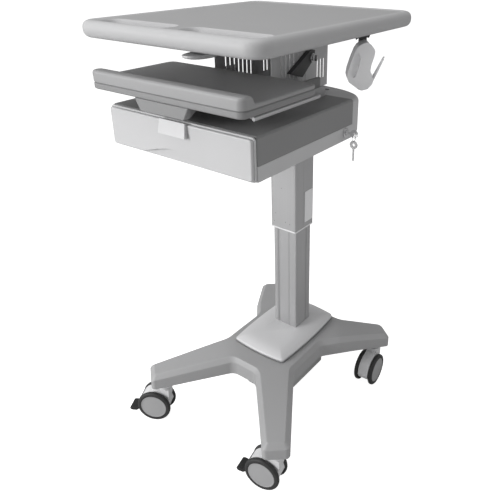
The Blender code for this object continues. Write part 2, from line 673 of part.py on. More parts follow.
# ---------------------------------------------------------------- keyboard tray
def build_tray():
    x, lip_depth = TRAY_X, 0.036
    lower = place("tray_lower_shell", soft_slab(-x, x, TRAY_FRONT, TRAY_BACK, TRAY_BOTTOM,
                                                TRAY_PARTING - 0.0005, 0.018, 0.003), mid_plastic())
    deck = [level(outline(-x, x, TRAY_FRONT, TRAY_BACK, 0.018), TRAY_PARTING),
            level(outline(-x, x, TRAY_FRONT, TRAY_BACK, 0.018), TRAY_DECK - 0.002),
            level(outline(-x + 0.002, x - 0.002, TRAY_FRONT + 0.002, TRAY_BACK - 0.002, 0.016), TRAY_DECK)]
    upper = place("tray_upper_shell", stack(deck), mid_plastic())
    rest = [(TRAY_FRONT, TRAY_PARTING + 0.003), (TRAY_FRONT + lip_depth + 0.006, TRAY_PARTING + 0.003),
            (TRAY_FRONT + lip_depth + 0.006, TRAY_DECK), (TRAY_FRONT + lip_depth, TRAY_LIP - 0.006),
            (TRAY_FRONT + lip_depth - 0.012, TRAY_LIP), (TRAY_FRONT + 0.006, TRAY_LIP),
            (TRAY_FRONT, TRAY_LIP - 0.006)]
    join(upper, extrude_x(rest, -x + 0.018, x - 0.018))

    half_top, half_bottom, low = 0.0794, 0.0643, 0.9946
    high = TRAY_BOTTOM - GAP
    skirt = [(-half_bottom, low), (half_bottom, low), (half_top, high), (-half_top, high)]
    small = [(px * 0.8, pz if pz > low else low + 0.008) for px, pz in skirt]
    place("tray_front_housing", stack([[(px, TRAY_FRONT + 0.055, pz) for px, pz in small],
                                       [(px, TRAY_FRONT + 0.018, pz) for px, pz in skirt],
                                       [(px, TRAY_FRONT + 0.002, pz) for px, pz in skirt]]), mid_plastic())
    for name, sign in (("left", -1), ("right", 1)):
        xs, low = sign * TRAY_RAIL_X, TRAY_BOTTOM - 0.0070
        place("tray_side_rail_" + name, rod((xs, -0.4202, low), (xs, -0.1963, low), 0.0062, 16), anodised())
        xs, roof = sign * TRAY_SLIDE_X, 1.0045
        fixed = place("tray_slide_" + name, slab(xs - 0.012, xs + 0.012, -0.321, -0.064,
                                                 HOUSE_TOP + GAP, roof), zinc_steel())
        cut(fixed, slab(xs - 0.0085, xs + 0.0085, -0.45, -0.05, HOUSE_TOP + 0.0035, roof - 0.0030),
            slab(xs - 0.0040, xs + 0.0040, -0.45, -0.05, roof - 0.01, roof + 0.01))
        foot, flange = HOUSE_TOP + 0.0040, roof - 0.0035
        tee = [(xs - 0.0080, foot), (xs + 0.0080, foot), (xs + 0.0080, flange), (xs + 0.0035, flange),
               (xs + 0.0035, TRAY_BOTTOM + 0.004), (xs - 0.0035, TRAY_BOTTOM + 0.004),
               (xs - 0.0035, flange), (xs - 0.0080, flange)]
        join(lower, extrude_y(tee, -0.3226, -0.0738))


# ---------------------------------------------------------------- worktop and what hangs from it
def build_worktop():
    def ring(inset, z):
        return level(outline(-TOP_X + inset, TOP_X - inset, TOP_FRONT + inset, TOP_BACK - inset,
                             max(0.042 - inset, 0.004), 6), z)

    top = place("worktop", stack([
        ring(0.014, TOP_BOTTOM), ring(0.002, TOP_BOTTOM + 0.008), ring(0.0, TOP_BOTTOM + 0.016),
        ring(0.0, TOP_TOP - 0.012), ring(0.003, TOP_TOP - 0.004), ring(0.010, TOP_TOP),
        ring(0.018, TOP_TOP), ring(0.022, TOP_TOP - 0.0025),
    ]), pale_plastic())
    trays = []
    for x0, x1 in ((-0.2270, -0.0095), (0.0190, 0.2365)):
        trays.append(slab(x0, x1, TOP_FRONT + 0.021, TOP_FRONT + 0.086,
                          TOP_TOP - 0.007, TOP_TOP + 0.01, 0.030, 5))
    cut(top, merged(trays))
    hollow = 0.0045
    cut(top, slab(-TOP_X + 0.020, TOP_X - 0.020, TOP_FRONT + 0.020, TOP_BACK - 0.020, TOP_BOTTOM + hollow,
                  TOP_TOP - 0.0105, 0.030, 6))
    cut(top, slab(-TOP_X + 0.030, TOP_X - 0.030, TOP_FRONT + 0.030, TOP_BACK - 0.030, TOP_BOTTOM - 0.01,
                  TOP_BOTTOM + hollow + 0.001, 0.022, 6))
    place("worktop_underside", slab(-TOP_X + 0.0303, TOP_X - 0.0303, TOP_FRONT + 0.0303, TOP_BACK - 0.0303,
                                    TOP_BOTTOM, TOP_BOTTOM + 0.003, 0.0217, 6), mid_plastic())
    place("worktop_bracket", soft_slab(-0.151, 0.151, -0.246, 0.0985, SLEEVE_TOP + GAP, TOP_BOTTOM - GAP,
                                       0.020, 0.001, 3), painted_steel())

    x, y, z = LEVER
    paddle = place("height_lever", soft_slab(x - 0.026, x + 0.0255, y - 0.0563, y + 0.007,
                                             z - 0.0135, z - 0.0040, 0.014, 0.003), light_plastic(), LEVER)
    join(paddle, rod((x - 0.016, y, z - 0.0055), (x + 0.016, y, z - 0.0055), 0.0050, 12))


def build_cage():
    top, wall = SLEEVE_TOP, 0.0015
    cage = place("vent_cage", slab(-CAGE_X, CAGE_X, CAGE_FRONT, CAGE_BACK, CAGE_BOTTOM, top), painted_steel())
    cut(cage, slab(-CAGE_X + wall, CAGE_X - wall, CAGE_FRONT - 0.01, CAGE_BACK + 0.01,
                   CAGE_BOTTOM + wall, top + 0.01),
        slab(-CAGE_X + 0.02, CAGE_X - 0.02, -0.056, CAGE_BACK + 0.01, CAGE_BOTTOM - 0.01, CAGE_BOTTOM + 0.01))
    slots = []
    for k in range(7):
        y = CAGE_FRONT + 0.038 + 0.0158 * k
        slots.append(slab(-CAGE_X - 0.01, CAGE_X + 0.01, y - 0.0021, y + 0.0021, 1.004, top - 0.015))
    for k in range(3):
        y = CAGE_BACK - 0.018 - 0.0139 * k
        slots.append(slab(-CAGE_X - 0.01, CAGE_X + 0.01, y - 0.0021, y + 0.0021, 1.004, 1.052))
    cut(cage, merged(slots))


def build_holder():
    """Scanner holder: slotted cup with an outward arm, turned to face outwards and forwards."""
    facing = Matrix.Rotation(math.radians(HOLDER_TURN), 3, "Z")
    spot = Vector(HOLDER)

    def turned(bm):
        bmesh.ops.rotate(bm, cent=(0, 0, 0), matrix=facing, verts=bm.verts)
        bmesh.ops.translate(bm, vec=spot, verts=bm.verts)
        return bm

    outer = [(-0.016, -0.004), (-0.040, -0.073), (-0.039, -0.092), (-0.028, -0.106), (-0.007, -0.116),
             (0.011, -0.116), (0.024, -0.104), (0.038, -0.080), (0.0555, -0.036), (0.0480, -0.036),
             (0.031, -0.073), (0.019, -0.073), (0.028, -0.022), (0.027, -0.010), (0.018, -0.001),
             (-0.004, 0.001)]
    holder = place("scanner_holder", turned(extrude_y(outer, -0.026, 0.026)), white_plastic())
    hollow = [(-0.012, 0.010), (-0.0125, -0.008), (-0.0360, -0.074), (-0.0350, -0.090), (-0.025, -0.101),
              (-0.006, -0.110), (0.006, -0.110), (0.014, -0.078), (0.0235, -0.020), (0.018, 0.010)]
    slot = [(-0.018, -0.030), (-0.030, -0.078), (-0.024, -0.085), (-0.018, -0.078), (-0.004, -0.030),
            (-0.003, 0.02), (-0.012, 0.02)]
    cut(holder, turned(extrude_y(hollow, -0.0225, 0.0225)))
    cut(holder, turned(extrude_y(slot, -0.040, -0.010)))
    under = TOP_BOTTOM - HOLDER[2] - GAP
    mount = place("holder_mount", turned(extrude_y([(-0.014, -0.003), (-0.0145, under), (0.018, under),
                                                    (0.0155, 0.0020), (-0.004, 0.0040)], 0.0270, 0.0360)),
                  dark_plastic())
    join(mount, turned(extrude_y([(-0.010, -0.050), (-0.008, 0.0060), (0.010, 0.0060), (0.012, -0.050)],
                                 0.0263, 0.0300)))


def main():
    clear_scene()
    build_base()
    build_casters()
    build_column()
    build_housing()
    build_drawer()
    build_locks()
    build_tray()
    build_worktop()
    build_cage()
    build_holder()


main()
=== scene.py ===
"""Looks for the medication cart: detailed pieces, materials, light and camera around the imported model."""

import json
import math

import bmesh
import bpy
from mathutils import Matrix, Vector, geometry

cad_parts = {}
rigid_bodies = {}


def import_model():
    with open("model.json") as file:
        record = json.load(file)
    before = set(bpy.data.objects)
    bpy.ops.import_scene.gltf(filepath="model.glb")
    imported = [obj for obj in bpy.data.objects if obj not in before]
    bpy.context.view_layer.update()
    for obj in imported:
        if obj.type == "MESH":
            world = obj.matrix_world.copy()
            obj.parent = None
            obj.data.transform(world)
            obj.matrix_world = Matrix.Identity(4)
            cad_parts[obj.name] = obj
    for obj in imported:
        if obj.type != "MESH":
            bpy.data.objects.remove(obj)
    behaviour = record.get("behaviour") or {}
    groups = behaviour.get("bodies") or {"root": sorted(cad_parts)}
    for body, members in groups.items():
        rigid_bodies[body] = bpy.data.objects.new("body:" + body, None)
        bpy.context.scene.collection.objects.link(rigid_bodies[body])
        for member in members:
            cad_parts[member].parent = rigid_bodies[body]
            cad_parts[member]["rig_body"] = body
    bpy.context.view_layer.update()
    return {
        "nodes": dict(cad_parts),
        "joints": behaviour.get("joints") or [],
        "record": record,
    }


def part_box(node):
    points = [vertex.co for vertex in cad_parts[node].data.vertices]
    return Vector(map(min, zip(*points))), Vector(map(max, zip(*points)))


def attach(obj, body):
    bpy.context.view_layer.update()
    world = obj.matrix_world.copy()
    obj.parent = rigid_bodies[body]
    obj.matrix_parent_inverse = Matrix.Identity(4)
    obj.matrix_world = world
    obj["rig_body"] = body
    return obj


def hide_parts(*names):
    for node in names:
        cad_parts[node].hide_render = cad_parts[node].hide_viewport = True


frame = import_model()
NODES = frame["nodes"]
JOINTS = {joint["name"]: joint for joint in frame["joints"]}
CAMERA_SPOT = (0.862, -1.1819, 1.307)
CAMERA_PITCH, CAMERA_YAW = 0.4091, 0.6297
HOLDER_TOP, HOLDER_TURN = (0.2429, -0.0647, 1.1180), 36.0
WORKTOP_CORNER = 0.044
WELL_DEPTH = 0.0135
RAIL_SLIMMER, RAIL_RAISE, RAIL_SHORTER = 0.76, 0.0012, 0.004
BEAD_HEIGHT = 0.0048
SLOTS = {part["node"]: part["material_slot"] for part in frame["record"]["subparts"]}
DONE = set()


# ---------------------------------------------------------------- materials
def grained(name, colour, roughness, grain=0.0006, bump=0.25, mottle=0.03, metallic=0.0, streak=None,
            edge_paling=0.0, coat=0.0):
    """A procedural finish: broad colour drift, fine grain in roughness and bump, and paler convex edges."""
    made = bpy.data.materials.new(name)
    made.use_nodes = True
    nodes, links = made.node_tree.nodes, made.node_tree.links
    shader = nodes["Principled BSDF"]
    shader.inputs["Metallic"].default_value = metallic
    shader.inputs["Coat Weight"].default_value = coat
    shader.inputs["Coat Roughness"].default_value = 0.2
    coord = nodes.new("ShaderNodeTexCoord")
    source = coord.outputs["Object"]
    if streak:
        mapping = nodes.new("ShaderNodeMapping")
        mapping.inputs["Scale"].default_value = streak
        links.new(source, mapping.inputs["Vector"])
        streaked = mapping.outputs["Vector"]
    else:
        streaked = source

    def noise(vector, scale, detail):
        node = nodes.new("ShaderNodeTexNoise")
        node.inputs["Scale"].default_value = scale
        node.inputs["Detail"].default_value = detail
        links.new(vector, node.inputs["Vector"])
        return node.outputs["Fac"]

    def remap(value, low, high, start=0.25, end=0.75):
        node = nodes.new("ShaderNodeMapRange")
        node.inputs["From Min"].default_value = start
        node.inputs["From Max"].default_value = end
        node.inputs["To Min"].default_value = low
        node.inputs["To Max"].default_value = high
        links.new(value, node.inputs["Value"])
        return node.outputs["Result"]

    def blended(factor, dark, light):
        node = nodes.new("ShaderNodeMix")
        node.data_type = "RGBA"
        node.inputs[6].default_value = (*dark, 1.0)
        node.inputs[7].default_value = (*light, 1.0)
        links.new(factor, node.inputs[0])
        return node

    drift = noise(streaked, 7.0 if not streak else 1.0, 3.0)
    dark = [c * (1.0 - mottle) for c in colour]
    light = [min(c * (1.0 + mottle), 1.0) for c in colour]
    body = blended(drift, dark, light)
    result = body.outputs[2]
    # Convex edges, where pointiness is high, are mixed towards a paler colour.
    if edge_paling:
        edge = nodes.new("ShaderNodeNewGeometry")
        convex_mask = remap(edge.outputs["Pointiness"], 0.0, edge_paling, 0.50, 0.58)
        paler = nodes.new("ShaderNodeMix")
        paler.data_type = "RGBA"
        paler.inputs[7].default_value = (*[min(c * 1.35 + 0.02, 1.0) for c in colour], 1.0)
        links.new(convex_mask, paler.inputs[0])
        links.new(result, paler.inputs[6])
        result = paler.outputs[2]
    links.new(result, shader.inputs["Base Color"])
    fine = noise(source, 1.0 / grain, 2.0)
    links.new(remap(fine, roughness - 0.05, roughness + 0.05), shader.inputs["Roughness"])
    relief = nodes.new("ShaderNodeBump")
    relief.inputs["Strength"].default_value = bump
    relief.inputs["Distance"].default_value = grain * 0.15
    links.new(fine, relief.inputs["Height"])
    links.new(relief.outputs["Normal"], shader.inputs["Normal"])
    return made


def grey(value, warm=0.0):
    """A nearly neutral colour, a trifle cool unless warmed."""
    return (value * (1.0 + warm), value, value * (1.012 - warm))


MATERIALS = {
    "pale_plastic": grained("pale_plastic", grey(0.66), 0.42, 0.0005, 0.20, 0.02, coat=0.10),
    "light_plastic": grained("light_plastic", grey(0.575), 0.44, 0.0005, 0.22, 0.02, coat=0.08),
    "mid_plastic": grained("mid_plastic", grey(0.262), 0.50, 0.0007, 0.35, 0.03),
    "base_plastic": grained("base_plastic", grey(0.40), 0.48, 0.0006, 0.30, 0.025, coat=0.05),
    "dark_plastic": grained("dark_plastic", grey(0.075), 0.52, 0.0007, 0.35, 0.04),
    "white_plastic": grained("white_plastic", grey(0.90), 0.32, 0.0004, 0.10, 0.01, coat=0.30),
    "black_plastic": grained("black_plastic", grey(0.020), 0.46, 0.0007, 0.35, 0.08),
    "tyre_rubber": grained("tyre_rubber", grey(0.030), 0.58, 0.0009, 0.50, 0.10),
    "anodised_aluminium": grained("anodised_aluminium", grey(0.50), 0.40, 0.0004, 0.08, 0.035, 0.55,
                                  (260.0, 260.0, 2.0)),
    "painted_steel": grained("painted_steel", grey(0.50), 0.50, 0.0009, 0.45, 0.04, 0.10, edge_paling=0.25),
    "zinc_steel": grained("zinc_steel", grey(0.52), 0.34, 0.0006, 0.12, 0.08, 0.85),
    "chrome": grained("chrome", grey(0.74), 0.14, 0.0008, 0.02, 0.02, 1.0),
}
WORKTOP_RIM = grained("worktop_rim", grey(0.47), 0.55, 0.0005, 0.20, 0.02)
# The tray deck takes a lighter copy of the mid plastic: painted light against the shade under the worktop.
TRAY_DECK_PAINTED_LIGHT = grained("tray_deck", grey(0.34), 0.50, 0.0007, 0.35, 0.03)
# The worktop's flat top takes a darker copy of the rim grey: painted shade for the dimmer light on the top
# face.
WORKTOP_TOP_PAINTED_SHADE = grained("worktop_surface_painted_shade", grey(0.385), 0.40, 0.0007, 0.35, 0.03, coat=0.12)
HUB_FACE = grained("hub_face", grey(0.40), 0.46, 0.0005, 0.20, 0.02)
CASTER_HOOD = grained("caster_hood", grey(0.78), 0.40, 0.0005, 0.20, 0.02, coat=0.15)
PLAIN_LABEL = grained("plain_label", grey(0.90), 0.35, 0.0004, 0.08, 0.01, coat=0.20)
PLATE_FACE = grained("plate_face", grey(0.72), 0.40, 0.0005, 0.20, 0.02, coat=0.15)


# ---------------------------------------------------------------- mesh helpers
def corner_rounded(points, radii, steps):
    """A polygon with each corner turned into an arc of steps + 1 points; concave corners too."""
    out = []
    count = len(points)
    for i, here in enumerate(points):
        p = Vector(here)
        a, b = Vector(points[i - 1]) - p, Vector(points[(i + 1) % count]) - p
        angle = a.angle(b)
        radius = radii[i] if isinstance(radii, (list, tuple)) else radii
        length = min(radius / math.tan(angle / 2.0), 0.48 * a.length, 0.48 * b.length)
        radius = length * math.tan(angle / 2.0)
        u, v = a.normalized(), b.normalized()
        centre = p + (u + v).normalized() * (radius / math.sin(angle / 2.0))
        start, end = p + u * length - centre, p + v * length - centre
        sweep = math.atan2(start.x * end.y - start.y * end.x, start.dot(end))
        for k in range(steps + 1):
            turn = sweep * k / steps
            c, s = math.cos(turn), math.sin(turn)
            out.append((centre.x + start.x * c - start.y * s, centre.y + start.x * s + start.y * c))
    return out


def rect(x0, x1, y0, y1, radius, steps=8):
    return corner_rounded([(x0, y0), (x1, y0), (x1, y1), (x0, y1)], radius, steps)


def level(points, z):
    return [(x, y, z) for x, y in points]


def loft(rings, caps=(True, True)):
    """Skins rings of equal count; each cap is one flat face."""
    bm = bmesh.new()
    rows = [[bm.verts.new(point) for point in ring] for ring in rings]
    for low, high in zip(rows, rows[1:]):
        for i in range(len(low)):
            j = (i + 1) % len(low)
            bm.faces.new((low[i], low[j], high[j], high[i]))
    if caps[0]:
        bm.faces.new(rows[0][::-1])
    if caps[1]:
        bm.faces.new(rows[-1])
    return bm, rows


def terrain(bm, border, height, loops=(), free=(), flip=False):
    """Fills a ring of vertices with a triangulated surface of the given height function."""
    flat = [Vector(v.co.xy) for v in border]
    edges = [(i, (i + 1) % len(border)) for i in range(len(border))]
    for ring in loops:
        start = len(flat)
        flat += [Vector(p) for p in ring]
        edges += [(start + i, start + (i + 1) % len(ring)) for i in range(len(ring))]
    flat += [Vector(p) for p in free]
    outline = list(range(len(border)))
    if flip:
        outline = outline[::-1]
    verts, _, faces, origin, _, _ = geometry.delaunay_2d_cdt(flat, edges, [outline], 1, 1e-7)
    made = []
    for co, came in zip(verts, origin):
        known = [i for i in came if i < len(border)]
        made.append(border[known[0]] if known else bm.verts.new((co.x, co.y, height(co.x, co.y))))
    for face in faces:
        corner = [made[i] for i in face]
        if len(set(corner)) == len(corner):
            bm.faces.new(corner[::-1] if flip else corner)


def solid(name, bm, material, body, slot, nodes=(), bevel=0.0, segments=2, angle=32.0, cuts=(), adds=()):
    """Turns a bmesh into a finished piece: joins and cuts, rounds its sharp edges and shades it smooth."""
    if name in NODES:
        name = name + "_skin"
    mesh = bpy.data.meshes.new(name)
    bmesh.ops.recalc_face_normals(bm, faces=bm.faces)
    bm.to_mesh(mesh)
    bm.free()
    piece = bpy.data.objects.new(name, mesh)
    bpy.context.scene.collection.objects.link(piece)
    helpers = []
    for operation, shapes in (("UNION", adds), ("DIFFERENCE", cuts)):
        for shape in shapes:
            tool_mesh = bpy.data.meshes.new("tool")
            bmesh.ops.recalc_face_normals(shape, faces=shape.faces)
            shape.to_mesh(tool_mesh)
            shape.free()
            tool = bpy.data.objects.new("tool", tool_mesh)
            bpy.context.scene.collection.objects.link(tool)
            helpers.append(tool)
            step = piece.modifiers.new("join", "BOOLEAN")
            step.operation = operation
            step.object = tool
            step.solver = "EXACT"
    if helpers:
        settle(piece, dissolve=True)
        for tool in helpers:
            bpy.data.objects.remove(tool, do_unlink=True)
    piece.data.materials.clear()
    piece.data.materials.append(material)
    if bevel:
        step = piece.modifiers.new("edges", "BEVEL")
        step.width = bevel
        step.segments = segments
        step.limit_method = "ANGLE"
        step.angle_limit = math.radians(angle)
        step.use_clamp_overlap = True
    piece.data.shade_smooth()
    step = piece.modifiers.new("normals", "WEIGHTED_NORMAL")
    step.keep_sharp = True
    step.weight = 90
    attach(piece, body)
    if nodes:
        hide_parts(*nodes)
        DONE.update(nodes)
    return piece


def settle(piece, dissolve=False):
    """Applies a piece's modifiers."""
    bpy.context.view_layer.update()
    graph = bpy.context.evaluated_depsgraph_get()
    mesh = bpy.data.meshes.new_from_object(piece.evaluated_get(graph))
    piece.modifiers.clear()
    piece.data = mesh
    if dissolve:
        bm = bmesh.new()
        bm.from_mesh(mesh)
        bmesh.ops.remove_doubles(bm, verts=bm.verts, dist=2e-6)
        bmesh.ops.dissolve_limit(bm, angle_limit=math.radians(0.6), verts=bm.verts, edges=bm.edges)
        bm.to_mesh(mesh)
        bm.free()


def like(name, node, bm, material=None, **more):
    """A detailed piece that stands for one CAD node, on its body and, unless told otherwise, in its slot's
    material.
    """
    slot = SLOTS[node]
    return solid(name, bm, material or MATERIALS[slot], NODES[node]["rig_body"], slot, [node], **more)


def refined(node, width, segments=2, angle=28.0, material=None):
    """The CAD node's own shape with its edges rounded."""
    bm = bmesh.new()
    bm.from_mesh(NODES[node].data)
    bmesh.ops.remove_doubles(bm, verts=bm.verts, dist=2e-6)
    bmesh.ops.dissolve_limit(bm, angle_limit=math.radians(0.6), verts=bm.verts, edges=bm.edges)
    return like(node, node, bm, material, bevel=width, segments=segments, angle=angle)


def turned(bm, matrix):
    bmesh.ops.transform(bm, matrix=matrix, verts=bm.verts)
    return bm


def revolved(profile, segments):
    """A closed solid of revolution about Y through (radius, y) points, which may touch the axis."""
    bm = bmesh.new()
    rings = []
    for radius, y in profile:
        if radius < 1e-6:
            rings.append([bm.verts.new((0.0, y, 0.0))])
        else:
            angles = [2.0 * math.pi * k / segments for k in range(segments)]
            rings.append([bm.verts.new((radius * math.cos(a), y, radius * math.sin(a))) for a in angles])
    for low, high in zip(rings, rings[1:] + rings[:1]):
        if len(low) == 1 and len(high) == 1:
            continue
        for i in range(segments):
            j = (i + 1) % segments
            if len(low) == 1:
                bm.faces.new((low[0], high[i], high[j]))
            elif len(high) == 1:
                bm.faces.new((low[i], low[j], high[0]))
            else:
                bm.faces.new((low[i], low[j], high[j], high[i]))
    return bm


def prism(points, axis, low, high):
    """Extrudes a polygon: axis "x" takes (y, z) points, "y" takes (x, z), "z" takes (x, y)."""
    def at(p, depth):
        a, b = p
        return {"x": (depth, a, b), "y": (a, depth, b), "z": (a, b, depth)}[axis]
    return loft([[at(p, low) for p in points], [at(p, high) for p in points]])[0]


def bar(start, end, radius, segments=32, round_end=0.0):
    a, b = Vector(start), Vector(end)
    turn = (b - a).to_track_quat("Z", "Y").to_matrix()
    length = (b - a).length
    profile = [(radius - round_end, 0.0), (radius, round_end), (radius, length - round_end),
               (radius - round_end, length)]
    rings = []
    for r, z in profile:
        angles = [2.0 * math.pi * k / segments for k in range(segments)]
        rings.append([a + turn @ Vector((r * math.cos(t), r * math.sin(t), z)) for t in angles])
    return loft(rings)[0]


# ---------------------------------------------------------------- worktop
def signed_distance(x, y, x0, x1, y0, y1, radius):
    """Distance to a rounded rectangle, negative inside."""
    qx = abs(x - (x0 + x1) / 2.0) - (x1 - x0) / 2.0 + radius
    qy = abs(y - (y0 + y1) / 2.0) - (y1 - y0) / 2.0 + radius
    return math.hypot(max(qx, 0.0), max(qy, 0.0)) + min(max(qx, qy), 0.0) - radius


def build_worktop():
    lo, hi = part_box("worktop")
    corner = WORKTOP_CORNER
    profile = [(0.0302, 0.0034), (0.0302, 0.0), (0.0140, 0.0), (0.0085, 0.0018), (0.0042, 0.0052),
               (0.0014, 0.0098), (0.0, 0.0155), (0.0, 0.0215), (0.0011, 0.0270), (0.0038, 0.0316),
               (0.0080, 0.0348), (0.0130, 0.0363), (0.0175, 0.0366), (0.0205, 0.0363),
               (0.0235, 0.0353), (0.0260, 0.0344), (0.0280, 0.0341)]
    rings = []
    for inset, up in profile:
        rings.append(level(rect(lo.x + inset, hi.x - inset, lo.y + inset, hi.y - inset,
                                corner - inset, 12), lo.z + up))
    bm, rows = loft(rings, (True, False))
    floor = rings[-1][0][2]
    depth, roll_out, roll_in = WELL_DEPTH, 0.0022, 0.0105
    wells = []
    for x0, x1 in ((-0.2270, -0.0095), (0.0190, 0.2365)):
        wells.append((x0, x1, lo.y + 0.0295, lo.y + 0.0860, 0.0280))

    def height(x, y):
        near = min(signed_distance(x, y, *well) for well in wells)
        t = min(max((roll_out - near) / (roll_out + roll_in), 0.0), 1.0)
        return floor - depth * t * t * (3.0 - 2.0 * t)

    loops = []
    for x0, x1, y0, y1, radius in wells:
        for grow in (0.0022, 0.0008, -0.0008, -0.0024, -0.0042, -0.0062, -0.0084, -0.0105):
            loops.append(rect(x0 - grow, x1 + grow, y0 - grow, y1 + grow, radius + grow, 12))
    terrain(bm, rows[-1], height, loops)
    top = like("worktop_shell", "worktop", bm, WORKTOP_RIM)
    # The flat top inside the rim gets the darker copy, painted shade; the rim and the wells keep the rim
    # grey.
    top.data.materials.append(WORKTOP_TOP_PAINTED_SHADE)
    for face in top.data.polygons:
        inner = signed_distance(face.center.x, face.center.y, lo.x, hi.x, lo.y, hi.y, corner)
        if inner < -0.0262 and face.normal.z > 0.97 and height(face.center.x,
                                                               face.center.y) > floor - 1e-5:
            face.material_index = 1


# ---------------------------------------------------------------- base
ROOT_HALF, TIP_HALF, REACH = 0.054, 0.035, 0.0365
FRONT_ROOT, BACK_ROOT, REAR_ROOT = 0.133, 0.196, 0.226
ARM_TIP_TOP = 0.174
BASE_HUB_BOTTOM = 0.157


def build_base():
    lo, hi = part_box("base_cover")
    stems = [Vector(JOINTS["caster_%s_swivel" % n]["pos_m"][:2])
             for n in ("front_right", "rear_right", "rear_left", "front_left")]
    middle = sum(stems, Vector((0.0, 0.0))) / 4.0
    arm_length = (stems[0] - middle).length
    tip = arm_length + REACH

    def along(sx, sy):
        axis = stems[0] - middle
        return Vector((sx * abs(axis.x), sy * abs(axis.y))).normalized()

    def outline(inset):
        points, radii = [], []
        for sx, sy in ((1, -1), (1, 1), (-1, 1), (-1, -1)):
            axis = along(sx, sy)
            left = Vector((-axis.y, axis.x))
            for side in (-1, 1):
                roots = [FRONT_ROOT] if sy < 0 else ([REAR_ROOT] if side == sx else [FRONT_ROOT,
                                                                                     BACK_ROOT])
                run = [(root, ROOT_HALF - inset, 0.034 + inset if root == roots[0] else 0.080)
                       for root in roots]
                run.append((tip - inset, TIP_HALF - inset, max(0.013 - inset * 0.6, 0.004)))
                for distance, half, radius in (run if side < 0 else run[::-1]):
                    spot = middle + axis * distance + left * half * side
                    points.append((spot.x, spot.y))
                    radii.append(radius)
        smooth = corner_rounded(points, radii, 8)
        finer = []
        for i, point in enumerate(smooth):
            finer.append(point)
            if i % 9 == 8:
                a, b = Vector(point), Vector(smooth[(i + 1) % len(smooth)])
                finer += [tuple(a.lerp(b, k / 4.0)) for k in (1, 2, 3)]
        return finer

    def fall(x, y):
        axis = along(1 if x > 0 else -1, 1 if y > middle.y else -1)
        start = FRONT_ROOT
        spot = Vector((x, y)) - middle
        if y > middle.y:
            rearward = spot.dot(Vector((-axis.y,
                                        axis.x))) * (1 if x > 0 else -1) / (2.0 * ROOT_HALF) + 0.5
            start = BACK_ROOT + (REAR_ROOT - BACK_ROOT) * min(max(rearward, 0.0), 1.0)
        past = spot.dot(axis) - start
        eased = 0.5 * (past + math.sqrt(past * past + 0.022 ** 2))
        return min(eased / (tip - start), 1.0)

    def top(x, y, drop_hub=0.0, drop_tip=0.0):
        f = fall(x, y)
        return (hi.z - drop_hub) * (1.0 - f) + (ARM_TIP_TOP - drop_tip) * f

    def bottom(x, y, up=0.0):
        f = fall(x, y)
        return BASE_HUB_BOTTOM * (1.0 - f) + lo.z * f + up

    def ring(inset, z):
        return [(x, y, z(x, y)) for x, y in outline(inset)]

    rings = [
        ring(0.0145, lambda x, y: top(x, y, 0.0045, 0.0045)),
        ring(0.0035, lambda x, y: top(x, y, 0.0180, 0.0150)),
        ring(0.0035, bottom),
        ring(0.0012, bottom),
        ring(0.0, lambda x, y: bottom(x, y, 0.0012)),
        ring(0.0, lambda x, y: top(x, y, 0.0160, 0.0125)),
        ring(0.0003, lambda x, y: top(x, y, 0.0145, 0.0112)),
        ring(0.0013, lambda x, y: top(x, y, 0.0130, 0.0100)),
        ring(0.0105, lambda x, y: top(x, y, 0.0022, 0.0018)),
        ring(0.0122, lambda x, y: top(x, y, 0.0006, 0.0005)),
        ring(0.0142, lambda x, y: top(x, y)),
    ]
    bm, rows = loft(rings, (False, False))
    free = []
    for i in range(-30, 31):
        for j in range(-38, 39):
            x, y = middle.x + i * 0.009, middle.y + j * 0.009
            free.append((x, y))
    inner = outline(0.0190)
    free = [p for p in free if inside_polygon(p, inner)]
    terrain(bm, rows[-1], top, (), free)
    terrain(bm, rows[0], lambda x, y: top(x, y, 0.0045, 0.0045), (), free, flip=True)
    like("base_cover_shell", "base_cover", bm, cuts=(column_opening(),))


def inside_polygon(point, polygon):
    x, y = point
    inside = False
    for i in range(len(polygon)):
        (ax, ay), (bx, by) = polygon[i - 1], polygon[i]
        if (ay > y) != (by > y) and x < (bx - ax) * (y - ay) / (by - ay) + ax:
            inside = not inside
    return inside


def column_opening():
    """The hole that the column's wall stands in, so that the gas spring can pass down inside it."""
    lo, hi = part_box("lower_column")
    return prism(rect(lo.x + 0.0020, hi.x - 0.0020, lo.y + 0.0020, hi.y - 0.0020, 0.002, 3), "z", 0.02,
                 0.30)


def build_cover_plate():
    lo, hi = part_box("column_cover_plate")
    bow = 0.006
    x, y0, y1 = hi.x - bow, lo.y + bow, hi.y - bow

    def ring(inset, z):
        corners = [(-x + inset, y0 + inset), (x - inset, y0 + inset), (x - inset, y1 - inset),
                   (-x + inset, y1 - inset)]
        radii = [max(r - inset * 0.4, 0.002) for r in (0.007, 0.007, 0.014, 0.014)]
        points = []
        smooth = corner_rounded(corners, radii, 5)
        for i in range(4):
            points += smooth[i * 6:(i + 1) * 6]
            a, b = Vector(smooth[i * 6 + 5]), Vector(smooth[(i * 6 + 6) % 24])
            out = Vector(((b - a).y, -(b - a).x)).normalized()
            for k in range(1, 12):
                t = k / 12.0
                points.append(tuple(a.lerp(b, t) + out * bow * 4.0 * t * (1.0 - t)))
        return level(points, z)

    rise = hi.z - lo.z
    rings = [ring(0.0, lo.z), ring(0.0, lo.z + 0.0085), ring(0.0006, lo.z + 0.0103),
             ring(0.0020, lo.z + 0.0115)]
    for k in range(1, 11):
        t = k / 10.0
        rings.append(ring(0.0020 + 0.040 * t,
                          lo.z + 0.0115 + (rise - 0.0115) * (1.0 - (1.0 - t) ** 2.2)))
    like("cover_plate", "column_cover_plate", loft(rings)[0], PLATE_FACE, cuts=(column_opening(),))


